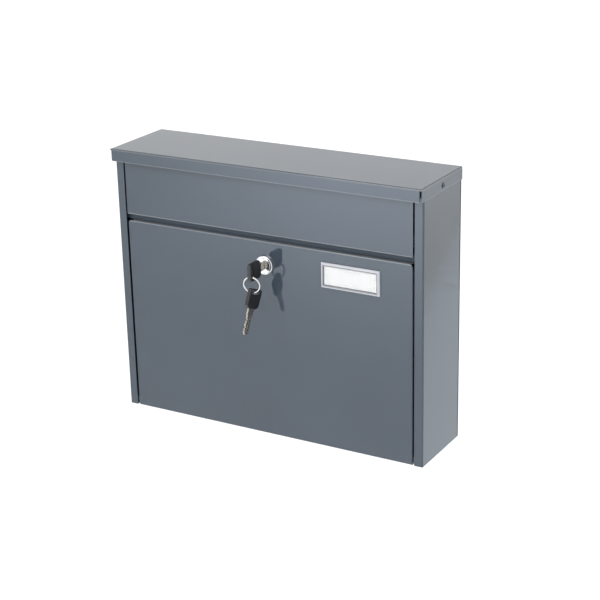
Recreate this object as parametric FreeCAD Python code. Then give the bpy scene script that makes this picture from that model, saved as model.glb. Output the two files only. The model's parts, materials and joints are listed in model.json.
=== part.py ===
import FreeCAD, Part
import math
import os

os.makedirs("parts", exist_ok=True)

V = FreeCAD.Vector

# A wall mounted sheet-steel mailbox. +X is to the right, the front faces -Y and +Z is up.
# Heights are measured from the body's bottom edge and depths from the wall (y = 0);
# save() then moves every piece so that the origin is the centre of the four wall screws.

# Body
BODY_WIDTH = 357.0
BODY_DEPTH = 85.0
HEIGHT = 291.0
SHEET = 1.0
BEND = 1.6
FRONT_FLANGE = 9.5
REAR_FLANGE = 12.0
EAR_LENGTH = 11.0
EAR_HEIGHT = 13.0

# Wall screws
SCREW_HEIGHT = 150.0
SCREW_SPACING_X = 280.0
SCREW_SPACING_Z = 170.0
SCREW_HOLE_R = 3.25

# Lid
LID_OVERHANG = 7.6
LID_LIP = 13.2
LID_CORNER_SLIT = 2.2
RIVET_DEPTH = 44.0
RIVET_DROP = 8.2
RIVET_R = 1.6
RIVET_HEAD_R = 2.8
RIVET_HEAD = 1.1
RIVET_BORE_R = 1.1
RIVET_BORE = 1.8

# Floor
FLOOR_FLANGE = 10.0
FLOOR_SIDE_NOTCH = 14.0
DRAIN_R = 2.5
DRAIN_SPACING_X = 240.0
DRAIN_SPACING_Y = 36.0

# Door
SIDE_GAP = 2.0
DOOR_SIDE_RETURN = 12.0
DOOR_TOP_RETURN = 15.0
DOOR_TOP_LIP = 8.0
DOOR_BOTTOM_RETURN = 8.0
DOOR_CORNER_R = 4.0
DOOR_CORNER_RELIEF = 7.0
DOOR_BEND = 1.2
DOOR_AXIS_IN = 6.0
DOOR_AXIS_UP = 6.0
DOOR_OPEN = math.radians(95)
HINGE_PIN_R = 2.0
HINGE_HEAD_R = 4.0
HINGE_HEAD = 1.3
RUNNING = 0.06
CLEAR = 0.3

# Flap
FLAP_HEIGHT = 58.3
FLAP_GAP = 6.7
FLAP_AXIS_DROP = 0.8
FLAP_HEM = 6.0
FLAP_HEM_R = 1.4
ROD_R = 1.5
ROD_HOOK = 9.0
STOP_HEIGHT = 12.0
STOP_ABOVE_HEM = 4.0
STOP_REACH = 7.0
STOP_JOGGLE = 1.8
BUFFER_R = 3.0

# Strike rail: its face closes the gap under the flap, its shelf lies over the door's top return
# and its lip hangs behind it
RAIL_FACE_IN = 5.5
RAIL_ABOVE_DOOR = 12.0
RAIL_OVER_DOOR = 0.5
RAIL_LIP_DROP = 13.8
RAIL_BACK_IN = 35.0
RAIL_REAR_LIP = 8.0
RAIL_BEHIND_DOOR = 2.0
DOOR_BUFFER_X = 120.0

# Lock, a millimetre right of the door's middle
LOCK_X = 1.0
LOCK_BELOW_DOOR_TOP = 24.8
LOCK_BODY_R = 8.0
LOCK_FLAT_DEPTH = 1.0
LOCK_WALL = 1.75
LOCK_HEAD_STEP = 2.0
LOCK_HEAD = 3.0
LOCK_RECESS_STEP = 1.4
LOCK_RECESS = 0.7
PLUG_FLANGE_STEP = 0.75
PLUG_FLANGE = 1.2
PLUG_PROUD = 0.3
NUT_WALL = 2.5
NUT_THICKNESS = 3.0
NUT_WASHER = 0.8
CAM_REACH = 25.0
CAM_WIDTH = 12.0
CAM_HUB_R = 8.0
CAM_THICKNESS = 2.0
CAM_GAP = 0.4
STRIKE_GAP = 0.8
TAIL_WIDTH = 6.0
CAM_SCREW_R = 2.0
TAIL_WALL = 1.0
CAM_SCREW_HEAD_R = 4.4
CAM_SCREW_HEAD = 2.8
CAM_WASHER_R = 5.4
CAM_WASHER = 0.8
WAFER_COUNT = 5
WAFER_PITCH = 2.6
WAFER_THICKNESS = 0.9
WAFER_WIDTH = 5.0
WAFER_GAP = 0.15
SPRING_R = 0.7

# Keys
BLADE_LENGTH = 27.0
BLADE_WIDTH = 7.2
BLADE_THICKNESS = 2.0
BLADE_SHANK = 9.0
BLADE_NECK = 6.6
BLADE_SHOULDER = 0.7
BITTING_COUNT = 6
BITTING_STEP = 0.45
KEYWAY_GAP = 0.25
BOW_LENGTH = 20.4
BOW_WIDTH = 18.2
BOW_THICKNESS = 4.2
BOW_CORNER_R = 3.0
BOW_CHAMFER = 3.0
BOW_EDGE = 0.5
BOW_PANEL = 0.35
BOW_PANEL_MARGIN = 2.2
BOW_TO_LOCK = 7.6
SLOT_FROM_END = 3.9
SLOT_WIDTH = 3.6
SLOT_LENGTH = 12.2
SLOT_CORNER_R = 0.9

# Ring and spare key
RING_R = 9.1
RING_WIRE = 1.2
RING_WIDTH = 1.8
RING_HANG = 0.5
RING_TURN = 12.0
RING_TILT = 9.0
SPARE_TURN = -10.0
SPARE_LEAN = -23.0
SPARE_DROP = 0.0
SPARE_SHIFT = 3.6

# Name holder
HOLDER_WIDTH = 65.0
HOLDER_HEIGHT = 26.0
HOLDER_FROM_DOOR_EDGE = 35.0
HOLDER_BELOW_DOOR_TOP = 11.8
HOLDER_THICKNESS = 3.0
HOLDER_BASE = 1.0
HOLDER_RIM = 3.0
HOLDER_BEVEL = 1.4
CARD = 0.4
WINDOW = 0.8
PEG_R = 1.5
PEG_SPACING = 50.0
PEG_LENGTH = 3.0

# Places that follow from the sizes
HALF = BODY_WIDTH / 2
FRONT = -BODY_DEPTH
TOP = HEIGHT - SHEET
OPENING = HALF - FRONT_FLANGE
DOOR_HALF = OPENING - SIDE_GAP
DOOR_AXIS_Y = FRONT + DOOR_AXIS_IN
DOOR_AXIS_Z = DOOR_AXIS_UP
LIP_BOTTOM = HEIGHT - LID_LIP
FLAP_BOTTOM = LIP_BOTTOM - FLAP_HEIGHT
DOOR_HEIGHT = FLAP_BOTTOM - FLAP_GAP
KNUCKLE_R = ROD_R + RUNNING + SHEET
FLAP_AXIS_Y = FRONT + KNUCKLE_R
FLAP_AXIS_Z = LIP_BOTTOM - FLAP_AXIS_DROP
RAIL_FRONT = FRONT + DOOR_TOP_RETURN + RAIL_BEHIND_DOOR
RAIL_FACE = FRONT + RAIL_FACE_IN
RAIL_BACK = FRONT + RAIL_BACK_IN
RAIL_SHELF = DOOR_HEIGHT + RAIL_OVER_DOOR
RAIL_TOP = DOOR_HEIGHT + RAIL_ABOVE_DOOR
LOCK_Z = DOOR_HEIGHT - LOCK_BELOW_DOOR_TOP
LOCK_HEAD_R = LOCK_BODY_R + LOCK_HEAD_STEP
LOCK_FLAT = LOCK_BODY_R - LOCK_FLAT_DEPTH
PLUG_R = LOCK_BODY_R - LOCK_WALL
PLUG_FLANGE_R = PLUG_R + PLUG_FLANGE_STEP
NUT_WASHER_R = LOCK_BODY_R + NUT_WALL
HEAD_FRONT = FRONT - LOCK_HEAD
PLUG_FRONT = HEAD_FRONT - PLUG_PROUD
LOCK_BACK = RAIL_FRONT + SHEET + STRIKE_GAP
CAM_FRONT = LOCK_BACK + CAM_GAP
CAM_BACK = CAM_FRONT + CAM_THICKNESS
KEYWAY_END = PLUG_FRONT - BOW_TO_LOCK + BLADE_LENGTH + CLEAR
KEY_SLOT_Y = PLUG_FRONT - BOW_TO_LOCK - BOW_LENGTH + SLOT_FROM_END
RING_MEAN_R = RING_R - RING_WIRE / 2
RING_TOP_Z = LOCK_Z - SLOT_LENGTH / 2 + RING_WIRE / 2 + RING_HANG
RING_IN = 2 * RING_MEAN_R * math.sin(math.radians(RING_TILT))
RING_BOTTOM_X = LOCK_X - RING_IN * math.sin(math.radians(RING_TURN))
RING_BOTTOM_Y = KEY_SLOT_Y + RING_IN * math.cos(math.radians(RING_TURN))
RING_BOTTOM_Z = RING_TOP_Z - 2 * RING_MEAN_R * math.cos(math.radians(RING_TILT))


def box(x0, x1, y0, y1, z0, z1):
    """A box between two corners."""
    return Part.makeBox(x1 - x0, y1 - y0, z1 - z0, V(x0, y0, z0))


def rod_x(radius, x0, x1, y, z):
    """A round bar along X."""
    return Part.makeCylinder(radius, x1 - x0, V(x0, y, z), V(1, 0, 0))


def rod_y(radius, y0, y1, x, z):
    """A round bar along Y."""
    return Part.makeCylinder(radius, y1 - y0, V(x, y0, z), V(0, 1, 0))


def rod_z(radius, z0, z1, x, y):
    """A round bar along Z."""
    return Part.makeCylinder(radius, z1 - z0, V(x, y, z0), V(0, 0, 1))


def near(a, b):
    """True where two lengths are the same."""
    return abs(a - b) < 1e-6


def edges_at(shape, axis, place):
    """The edges whose ends both lie at one place along X, Y or Z."""
    return [e for e in shape.Edges if all(near(getattr(v, axis), place) for v in e.Vertexes)]


def along_x(edges):
    """Those of the edges that run along X."""
    return [e for e in edges if near(e.BoundBox.YLength, 0) and near(e.BoundBox.ZLength, 0)]


def along_z(edges):
    """Those of the edges that run along Z."""
    return [e for e in edges if near(e.BoundBox.XLength, 0) and near(e.BoundBox.YLength, 0)]


def mirrored(shape):
    """The same piece on the other side of the box."""
    return shape.mirror(V(0, 0, 0), V(1, 0, 0))


def both_sides(shape):
    """A pair of equal pieces, left and right, in one node."""
    return Part.makeCompound([mirrored(shape), shape])


def save(node, shape):
    """Writes one piece, with the origin at the centre of the wall screws."""
    shape = shape.removeSplitter() if len(shape.Solids) == 1 else shape
    moved = shape.translated(V(0, 0, -SCREW_HEIGHT))
    moved.exportStep("parts/" + node + ".step")


def side_panel():
    """The right side: a folded channel with front and rear flanges and two hinge ears."""
    outer = box(HALF - REAR_FLANGE, HALF, FRONT, -SHEET, 0, TOP)
    outer = outer.makeFillet(BEND, along_z(edges_at(outer, "X", HALF)))
    inner = box(HALF - 2 * REAR_FLANGE, HALF - SHEET, FRONT + SHEET, -2 * SHEET, -SHEET, HEIGHT)
    front_cut = box(HALF - 2 * REAR_FLANGE, OPENING, FRONT - SHEET, FRONT + 2 * SHEET, -SHEET, HEIGHT)
    panel = outer.cut(inner).cut(front_cut)
    door_ear = (0, DOOR_AXIS_Y, DOOR_AXIS_Z, HINGE_PIN_R)
    flap_ear = (FLAP_AXIS_Z - EAR_HEIGHT / 2, FLAP_AXIS_Y, FLAP_AXIS_Z, ROD_R)
    for low, axis_y, axis_z, hole_r in (door_ear, flap_ear):
        ear = box(OPENING, OPENING + SHEET, FRONT + SHEET, FRONT + SHEET + EAR_LENGTH, low, low + EAR_HEIGHT)
        panel = panel.fuse(ear.cut(rod_x(hole_r, OPENING - SHEET, HALF, axis_y, axis_z)))
    rivet_z = HEIGHT - RIVET_DROP
    return panel.cut(rod_x(RIVET_R, HALF - 2 * SHEET, HALF + SHEET, -RIVET_DEPTH, rivet_z))


def back_panel():
    """The back plate, with a flange under the lid and four wall-screw holes."""
    plate = box(-HALF, HALF, -SHEET, 0, 0, TOP)
    inside = HALF - REAR_FLANGE - CLEAR
    plate = plate.fuse(box(-inside, inside, -REAR_FLANGE - SHEET, -SHEET, TOP - SHEET, TOP))
    for x in (-SCREW_SPACING_X / 2, SCREW_SPACING_X / 2):
        for z in (-SCREW_SPACING_Z / 2, SCREW_SPACING_Z / 2):
            plate = plate.cut(rod_y(SCREW_HOLE_R, -2 * SHEET, SHEET, x, SCREW_HEIGHT + z))
    return plate


def floor_front():
    """Where the floor starts: just clear of the door's bottom edge when the door is fully open."""
    reach = math.hypot(DOOR_AXIS_IN, DOOR_AXIS_UP)
    start = math.atan2(-DOOR_AXIS_UP, -DOOR_AXIS_IN)
    return DOOR_AXIS_Y + reach * math.cos(start + DOOR_OPEN) + CLEAR


def floor_panel():
    """The floor: a tray with flanges up all round, notched for the door's sides, with drain holes."""
    wide = HALF - SHEET
    front = floor_front()
    tray = box(-wide, wide, front, -2 * SHEET, 0, FLOOR_FLANGE)
    tray = tray.cut(box(-wide + SHEET, wide - SHEET, front + SHEET, -3 * SHEET, SHEET, 2 * FLOOR_FLANGE))
    notch_x = wide - FLOOR_SIDE_NOTCH
    notch_y = DOOR_AXIS_Y + math.hypot(DOOR_SIDE_RETURN - DOOR_AXIS_IN, DOOR_AXIS_UP) + 2 * SHEET
    notch = box(notch_x, HALF, front - SHEET, notch_y, -SHEET, 2 * FLOOR_FLANGE)
    tray = tray.cut(notch).cut(mirrored(notch))
    middle = (notch_y - 2 * SHEET) / 2
    for x in (-DRAIN_SPACING_X / 2, DRAIN_SPACING_X / 2):
        for y in (-DRAIN_SPACING_Y / 2, DRAIN_SPACING_Y / 2):
            tray = tray.cut(rod_z(DRAIN_R, -SHEET, 2 * SHEET, x, middle + y))
    return tray


def lid():
    """The lid: a flat top with folded lips at the front and sides, slit at the two front corners."""
    wide = HALF + SHEET
    front = FRONT - LID_OVERHANG
    cap = box(-wide, wide, front, 0, LIP_BOTTOM, HEIGHT)
    bends = [e for e in edges_at(cap, "Z", HEIGHT) if not near(e.BoundBox.YMin, 0)]
    cap = cap.makeFillet(BEND, bends)
    cap = cap.cut(box(-HALF, HALF, front + SHEET, SHEET, LIP_BOTTOM - SHEET, TOP))
    slit = box(wide - LID_CORNER_SLIT, wide + SHEET, front - SHEET, front + LID_CORNER_SLIT,
               LIP_BOTTOM - SHEET, HEIGHT - BEND)
    cap = cap.cut(slit).cut(mirrored(slit))
    hole = rod_x(RIVET_R, HALF - SHEET, wide + SHEET, -RIVET_DEPTH, HEIGHT - RIVET_DROP)
    return cap.cut(hole).cut(mirrored(hole))


def lid_rivet():
    """The right rivet: a low domed head with a blind bore outside, a shank and a set head inside."""
    y = -RIVET_DEPTH
    z = HEIGHT - RIVET_DROP
    outside = HALF + SHEET
    inside = HALF - SHEET
    head = rod_x(RIVET_HEAD_R, outside, outside + RIVET_HEAD, y, z)
    head = head.makeFillet(RIVET_HEAD * 0.8, edges_at(head, "X", outside + RIVET_HEAD))
    shank = rod_x(RIVET_R, inside, outside, y, z)
    tail = rod_x(RIVET_HEAD_R, inside - RIVET_HEAD, inside, y, z)
    bore = rod_x(RIVET_BORE_R, outside + RIVET_HEAD - RIVET_BORE, outside + 2 * RIVET_HEAD, y, z)
    return head.fuse(shank).fuse(tail).cut(bore)


def strike_rail():
    """The cross rail, bent from one strip: the lip the cam closes behind, a shelf, a face, a top and a rear lip."""
    wide = HALF - SHEET
    lip = box(-wide, wide, RAIL_FRONT, RAIL_FRONT + SHEET, DOOR_HEIGHT - RAIL_LIP_DROP, RAIL_SHELF + SHEET)
    shelf = box(-wide, wide, RAIL_FACE, RAIL_FRONT + SHEET, RAIL_SHELF, RAIL_SHELF + SHEET)
    face = box(-wide, wide, RAIL_FACE, RAIL_FACE + SHEET, RAIL_SHELF, RAIL_TOP)
    top = box(-wide, wide, RAIL_FACE, RAIL_BACK, RAIL_TOP - SHEET, RAIL_TOP)
    rear = box(-wide, wide, RAIL_BACK - SHEET, RAIL_BACK, RAIL_TOP - RAIL_REAR_LIP, RAIL_TOP)
    return lip.fuse(shelf).fuse(face).fuse(top).fuse(rear)


def door_buffer():
    """A rubber pad on the rail's front lip, behind the door's folded top lip."""
    z = DOOR_HEIGHT - DOOR_TOP_LIP / 2
    return rod_y(BUFFER_R, FRONT + DOOR_TOP_RETURN + CLEAR, RAIL_FRONT, DOOR_BUFFER_X, z)


def hinge_rivet():
    """The right door pivot: a rivet through the body's ear and the door's side."""
    head = rod_x(HINGE_HEAD_R, OPENING + SHEET, OPENING + SHEET + HINGE_HEAD, DOOR_AXIS_Y, DOOR_AXIS_Z)
    inner = DOOR_HALF - SHEET - CLEAR
    shank = rod_x(HINGE_PIN_R, inner, OPENING + SHEET, DOOR_AXIS_Y, DOOR_AXIS_Z)
    set_head = rod_x(HINGE_HEAD_R - SHEET, inner - HINGE_HEAD, inner, DOOR_AXIS_Y, DOOR_AXIS_Z)
    return head.fuse(shank).fuse(set_head)


def hinge_washer():
    """The nylon washer that spaces the door's side from the body's ear."""
    x0 = DOOR_HALF + CLEAR
    ring = rod_x(HINGE_HEAD_R, x0, OPENING, DOOR_AXIS_Y, DOOR_AXIS_Z)
    return ring.cut(rod_x(HINGE_PIN_R, x0 - SHEET, OPENING + SHEET, DOOR_AXIS_Y, DOOR_AXIS_Z))


def flap_rod():
    """The wire rod that the flap hangs on, with both ends bent down behind the body's ears."""
    end = OPENING + SHEET + 2 * ROD_R
    rod = rod_x(ROD_R, -end, end, FLAP_AXIS_Y, FLAP_AXIS_Z)
    for x in (-end, end):
        elbow = Part.makeSphere(ROD_R, V(x, FLAP_AXIS_Y, FLAP_AXIS_Z))
        rod = rod.fuse(elbow).fuse(rod_z(ROD_R, FLAP_AXIS_Z - ROD_HOOK, FLAP_AXIS_Z, x, FLAP_AXIS_Y))
    return rod


def stop_z():
    """The height of the flap stops' lower edge."""
    return FLAP_BOTTOM + FLAP_HEM + STOP_ABOVE_HEM


def flap_stop():
    """The right flap stop: a joggled strip welded behind the body's front flange."""
    low = stop_z()
    high = low + STOP_HEIGHT
    weld = FRONT + SHEET
    seat = weld + STOP_JOGGLE
    foot = box(OPENING, HALF - SHEET - BEND, weld, weld + SHEET, low, high)
    step = box(OPENING, OPENING + SHEET, weld, seat + SHEET, low, high)
    reach = box(DOOR_HALF - STOP_REACH, OPENING + SHEET, seat, seat + SHEET, low, high)
    return foot.fuse(step).fuse(reach)


def flap_buffer():
    """The rubber pad on the right flap stop."""
    seat = FRONT + SHEET + STOP_JOGGLE
    x = DOOR_HALF - STOP_REACH + BUFFER_R + SHEET / 2
    return rod_y(BUFFER_R, FRONT + SHEET + CLEAR, seat, x, stop_z() + STOP_HEIGHT / 2)


def flap_panel():
    """The flap: a plate rolled round the rod at its top, with a closed hem at its bottom."""
    knuckle = rod_x(KNUCKLE_R, -DOOR_HALF, DOOR_HALF, FLAP_AXIS_Y, FLAP_AXIS_Z)
    plate = box(-DOOR_HALF, DOOR_HALF, FRONT, FRONT + SHEET, FLAP_BOTTOM + FLAP_HEM, FLAP_AXIS_Z)
    hem = box(-DOOR_HALF, DOOR_HALF, FRONT, FRONT + 2 * SHEET, FLAP_BOTTOM, FLAP_BOTTOM + FLAP_HEM)
    low_front = [e for e in along_x(edges_at(hem, "Z", FLAP_BOTTOM)) if near(e.BoundBox.YMin, FRONT)]
    hem = hem.makeFillet(FLAP_HEM_R, low_front)
    bore = rod_x(ROD_R + RUNNING, -HALF, HALF, FLAP_AXIS_Y, FLAP_AXIS_Z)
    mouth = box(-HALF, HALF, FLAP_AXIS_Y, FLAP_AXIS_Y + KNUCKLE_R + SHEET, FLAP_AXIS_Z - KNUCKLE_R - SHEET,
                FLAP_AXIS_Z - ROD_R)
    return plate.fuse(hem).fuse(knuckle.cut(mouth)).cut(bore)


def door_pan():
    """The door's front plate with its side, top and bottom returns, before any holes."""
    pan = box(-DOOR_HALF, DOOR_HALF, FRONT, FRONT + DOOR_SIDE_RETURN, 0, DOOR_HEIGHT)
    pan = pan.makeFillet(DOOR_BEND, edges_at(pan, "Y", FRONT))
    wide = DOOR_HALF - SHEET
    pan = pan.cut(box(-wide, wide, FRONT + SHEET, 0, SHEET, DOOR_HEIGHT - SHEET))
    pan = pan.cut(box(-wide, wide, FRONT + DOOR_BOTTOM_RETURN, 0, -SHEET, 2 * SHEET))
    relief_x = DOOR_HALF - DOOR_CORNER_RELIEF
    for side in (1, -1):
        corner = box(relief_x, HALF, FRONT + SHEET, 0, DOOR_HEIGHT - DOOR_CORNER_RELIEF, HEIGHT)
        tip = box(DOOR_HALF - DOOR_CORNER_R, HALF, FRONT - SHEET, 0, DOOR_HEIGHT - DOOR_CORNER_R, HEIGHT)
        tip = tip.cut(rod_y(DOOR_CORNER_R, FRONT - 2 * SHEET, SHEET, DOOR_HALF - DOOR_CORNER_R,
                            DOOR_HEIGHT - DOOR_CORNER_R))
        tool = corner.fuse(tip)
        pan = pan.cut(tool if side > 0 else mirrored(tool))
    return pan


def door_top():
    """The door's deep top return, chamfered at its front corners, and its downward lip."""
    fold = DOOR_HALF - DOOR_CORNER_RELIEF
    wide = DOOR_HALF - SHEET
    front = FRONT + SHEET
    back = FRONT + DOOR_TOP_RETURN
    outline = [(-fold, front), (fold, front), (wide, front + wide - fold), (wide, back), (-wide, back),
               (-wide, front + wide - fold), (-fold, front)]
    face = Part.Face(Part.makePolygon([V(x, y, DOOR_HEIGHT - SHEET) for x, y in outline]))
    top = face.extrude(V(0, 0, SHEET))
    return top.fuse(box(-wide, wide, back - SHEET, back, DOOR_HEIGHT - DOOR_TOP_LIP, DOOR_HEIGHT))


def lock_section(grow, y0, y1):
    """The lock body's round section with two flats."""
    round_bar = rod_y(LOCK_BODY_R + grow, y0, y1, LOCK_X, LOCK_Z)
    flat = LOCK_FLAT + grow
    tall = 2 * LOCK_BODY_R
    return round_bar.common(box(LOCK_X - flat, LOCK_X + flat, y0, y1, LOCK_Z - tall, LOCK_Z + tall))


def peg_places():
    """The two places of the name holder's pegs, as x and z."""
    x = DOOR_HALF - HOLDER_FROM_DOOR_EDGE - HOLDER_WIDTH / 2
    z = DOOR_HEIGHT - HOLDER_BELOW_DOOR_TOP - HOLDER_HEIGHT / 2
    return [(x - PEG_SPACING / 2, z), (x + PEG_SPACING / 2, z)]


def door_panel():
    """The door, with its pivot holes, lock hole and the name holder's peg holes."""
    door = door_pan().fuse(door_top())
    pivot = rod_x(HINGE_PIN_R + RUNNING, DOOR_HALF - 2 * SHEET, HALF, DOOR_AXIS_Y, DOOR_AXIS_Z)
    door = door.cut(pivot).cut(mirrored(pivot))
    door = door.cut(lock_section(RUNNING, FRONT - SHEET, FRONT + 2 * SHEET))
    for x, z in peg_places():
        door = door.cut(rod_y(PEG_R, FRONT - SHEET, FRONT + 2 * SHEET, x, z))
    return door


def name_holder():
    """The clear name holder: a base with a bevelled rim and two pegs through the door."""
    (x0, z), (x1, _) = peg_places()
    x = (x0 + x1) / 2
    front = FRONT - HOLDER_THICKNESS
    half_w = HOLDER_WIDTH / 2
    half_h = HOLDER_HEIGHT / 2
    body = box(x - half_w, x + half_w, front, FRONT, z - half_h, z + half_h)
    body = body.makeChamfer(HOLDER_BEVEL, edges_at(body, "Y", front))
    body = body.cut(holder_pocket(x, z, front - SHEET, FRONT - HOLDER_BASE, 0))
    for peg_x, peg_z in peg_places():
        body = body.fuse(rod_y(PEG_R, FRONT, FRONT + PEG_LENGTH, peg_x, peg_z))
    return body


def holder_pocket(x, z, y0, y1, gap):
    """What lies inside the holder's rim between two depths, less a gap all round."""
    half_w = HOLDER_WIDTH / 2 - HOLDER_RIM - gap
    half_h = HOLDER_HEIGHT / 2 - HOLDER_RIM - gap
    return box(x - half_w, x + half_w, y0, y1, z - half_h, z + half_h)


def card_and_window():
    """The name card and the clear window in front of it."""
    (x0, z), (x1, _) = peg_places()
    x = (x0 + x1) / 2
    base = FRONT - HOLDER_BASE
    card = holder_pocket(x, z, base - CARD, base, CLEAR)
    return card, holder_pocket(x, z, base - CARD - WINDOW, base - CARD, 0)


def lock_housing():
    """The lock's housing: a round head, a flatted body, a bore and a recess for the plug's flange."""
    head = rod_y(LOCK_HEAD_R, HEAD_FRONT, FRONT, LOCK_X, LOCK_Z)
    head = head.makeFillet(SHEET, edges_at(head, "Y", HEAD_FRONT))
    recess_r = PLUG_FLANGE_R + LOCK_RECESS_STEP
    head = head.cut(rod_y(recess_r, HEAD_FRONT - SHEET, HEAD_FRONT + LOCK_RECESS, LOCK_X, LOCK_Z))
    housing = head.fuse(lock_section(0, FRONT, LOCK_BACK))
    housing = housing.cut(rod_y(PLUG_R + RUNNING, HEAD_FRONT - SHEET, LOCK_BACK + SHEET, LOCK_X, LOCK_Z))
    seat = PLUG_FRONT + PLUG_FLANGE + RUNNING
    return housing.cut(rod_y(PLUG_FLANGE_R + RUNNING, HEAD_FRONT - SHEET, seat, LOCK_X, LOCK_Z))


def lock_nut():
    """The hexagon nut that clamps the lock to the door."""
    y0 = FRONT + SHEET + NUT_WASHER
    corner = 2 * NUT_WASHER_R / math.sqrt(3)
    angles = [math.radians(60 * i) for i in range(7)]
    points = [V(LOCK_X + corner * math.cos(a), y0, LOCK_Z + corner * math.sin(a)) for a in angles]
    nut = Part.Face(Part.makePolygon(points)).extrude(V(0, NUT_THICKNESS, 0))
    return nut.cut(rod_y(LOCK_BODY_R, y0 - SHEET, y0 + 2 * NUT_THICKNESS, LOCK_X, LOCK_Z))


def lock_washer():
    """The washer between the nut and the door."""
    y0 = FRONT + SHEET
    ring = rod_y(NUT_WASHER_R, y0, y0 + NUT_WASHER, LOCK_X, LOCK_Z)
    return ring.cut(rod_y(LOCK_BODY_R, y0 - SHEET, y0 + 2 * SHEET, LOCK_X, LOCK_Z))


def wafer_places():
    """The front face of each wafer, from the lock's face inwards."""
    first = HEAD_FRONT + PLUG_FLANGE + WAFER_PITCH
    return [first + i * WAFER_PITCH for i in range(WAFER_COUNT)]


def key_slot(gap, y0, y1):
    """The keyway, or a wafer's window, that the blade slides through."""
    half_t = BLADE_THICKNESS / 2 + gap
    half_w = BLADE_WIDTH / 2 + gap
    return box(LOCK_X - half_t, LOCK_X + half_t, y0, y1, LOCK_Z - half_w, LOCK_Z + half_w)


def spring_x():
    """Where the wafer springs stand, beside the wafers."""
    return LOCK_X + WAFER_WIDTH / 2 + WAFER_GAP + SPRING_R


def lock_plug():
    """The turning plug: a front flange, the keyway, the wafer slots and a square tail for the cam."""
    plug = rod_y(PLUG_FLANGE_R, PLUG_FRONT, PLUG_FRONT + PLUG_FLANGE, LOCK_X, LOCK_Z)
    plug = plug.fuse(rod_y(PLUG_R, PLUG_FRONT, LOCK_BACK, LOCK_X, LOCK_Z))
    half = TAIL_WIDTH / 2
    plug = plug.fuse(box(LOCK_X - half, LOCK_X + half, LOCK_BACK, CAM_BACK, LOCK_Z - half, LOCK_Z + half))
    plug = plug.cut(key_slot(KEYWAY_GAP, PLUG_FRONT - SHEET, KEYWAY_END))
    reach = WAFER_WIDTH / 2 + WAFER_GAP
    side = spring_x() + SPRING_R + WAFER_GAP
    tall = BLADE_WIDTH / 2
    for y in wafer_places():
        y0 = y - WAFER_GAP
        y1 = y + WAFER_THICKNESS + WAFER_GAP
        slot = box(LOCK_X - reach, LOCK_X + reach, y0, y1, LOCK_Z - 2 * PLUG_R, LOCK_Z + 2 * PLUG_R)
        pocket = box(LOCK_X, side, y0 - SPRING_R / 2, y1 + SPRING_R / 2, LOCK_Z - tall, LOCK_Z + tall)
        plug = plug.cut(slot).cut(pocket)
    return plug.cut(rod_y(CAM_SCREW_R, KEYWAY_END + TAIL_WALL, CAM_BACK + SHEET, LOCK_X, LOCK_Z))


def lock_wafers():
    """The wafers: plates with a window for the blade and a nub that its spring pushes on."""
    wafers = []
    half_w = WAFER_WIDTH / 2
    half_h = math.sqrt((PLUG_R - WAFER_GAP) ** 2 - half_w ** 2)
    side = spring_x() + SPRING_R
    for y in wafer_places():
        plate = box(LOCK_X - half_w, LOCK_X + half_w, y, y + WAFER_THICKNESS, LOCK_Z - half_h, LOCK_Z + half_h)
        nub = box(LOCK_X + half_w, side, y, y + WAFER_THICKNESS, LOCK_Z + SHEET, LOCK_Z + 2 * SHEET)
        window = key_slot(WAFER_GAP, y - SHEET, y + 2 * SHEET)
        wafers.append(plate.cut(window).fuse(nub))
    return Part.makeCompound(wafers)


def wafer_springs():
    """One small spring under each wafer's nub, as a thin tube."""
    springs = []
    low = LOCK_Z - BLADE_WIDTH / 2
    for y in wafer_places():
        middle = y + WAFER_THICKNESS / 2
        tube = rod_z(SPRING_R, low, LOCK_Z + SHEET, spring_x(), middle)
        springs.append(tube.cut(rod_z(SPRING_R / 2, low - SHEET, LOCK_Z + 2 * SHEET, spring_x(), middle)))
    return Part.makeCompound(springs)


def lock_cam():
    """The cam, pointing left while unlocked; a quarter turn lifts it behind the rail's lip."""
    end_r = CAM_WIDTH / 2
    end_x = LOCK_X - CAM_REACH + end_r
    hub = rod_y(CAM_HUB_R, CAM_FRONT, CAM_BACK, LOCK_X, LOCK_Z)
    arm = box(end_x, LOCK_X, CAM_FRONT, CAM_BACK, LOCK_Z - end_r, LOCK_Z + end_r)
    tip = rod_y(end_r, CAM_FRONT, CAM_BACK, end_x, LOCK_Z)
    half = TAIL_WIDTH / 2
    hole = box(LOCK_X - half, LOCK_X + half, CAM_FRONT - SHEET, CAM_BACK + SHEET, LOCK_Z - half, LOCK_Z + half)
    return hub.fuse(arm).fuse(tip).cut(hole)


def cam_washer():
    """The washer under the cam screw's head."""
    ring = rod_y(CAM_WASHER_R, CAM_BACK, CAM_BACK + CAM_WASHER, LOCK_X, LOCK_Z)
    return ring.cut(rod_y(CAM_SCREW_R, CAM_BACK - SHEET, CAM_BACK + 2 * SHEET, LOCK_X, LOCK_Z))


def cam_screw():
    """The screw that holds the cam on the plug's tail, with a cross recess."""
    seat = CAM_BACK + CAM_WASHER
    head = rod_y(CAM_SCREW_HEAD_R, seat, seat + CAM_SCREW_HEAD, LOCK_X, LOCK_Z)
    head = head.makeFillet(SHEET, edges_at(head, "Y", seat + CAM_SCREW_HEAD))
    arm = CAM_SCREW_HEAD_R * 0.6
    slot = SHEET / 2
    y0 = seat + CAM_SCREW_HEAD / 2
    cross = box(LOCK_X - arm, LOCK_X + arm, y0, y0 + BODY_DEPTH, LOCK_Z - slot, LOCK_Z + slot)
    cross = cross.fuse(box(LOCK_X - slot, LOCK_X + slot, y0, y0 + BODY_DEPTH, LOCK_Z - arm, LOCK_Z + arm))
    shank = rod_y(CAM_SCREW_R, KEYWAY_END + TAIL_WALL + CLEAR, seat, LOCK_X, LOCK_Z)
    return head.cut(cross).fuse(shank)


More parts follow.
